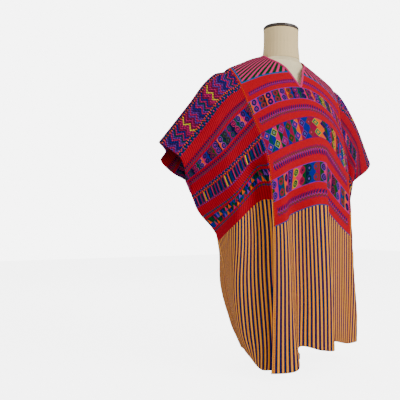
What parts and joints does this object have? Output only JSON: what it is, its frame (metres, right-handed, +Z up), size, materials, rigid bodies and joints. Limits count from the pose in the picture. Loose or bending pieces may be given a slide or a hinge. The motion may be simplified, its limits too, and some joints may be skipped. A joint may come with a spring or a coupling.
{
  "type": "huipil blouse worn on a limbless dress form",
  "caption": "Wide woven huipil of joined cloth panels with a V neck, short open sleeves and folded skirt, worn on a limbless tabletop dress form.",
  "frame": {"origin": "centre of the round base's underside", "axes": "+Z up along the form's pole and neck, -Y towards the garment's front, +X to the viewer's right from the front"},
  "size_m": [0.7963, 0.3599, 1.036],
  "materials": {
    "centre_cloth": "matt woven cotton, brocaded, with warp stripes below",
    "side_cloth": "matt ribbed woven cotton, brocaded, with warp stripes below",
    "binding": "matt cotton binding",
    "jersey": "smooth stretched jersey",
    "linen": "plain linen",
    "dark_wood": "satin",
    "steel": "brushed",
    "enamel": "satin"
  },
  "bodies": {
    "root": {"centre_panel": "centre_cloth", "side_panel_left": "side_cloth", "side_panel_right": "side_cloth", "neck_binding": "binding", "form_torso": "jersey", "form_neck": "linen", "form_cap": "dark_wood", "form_pole": "steel", "form_base": "enamel"}
  },
  "joints": []
}
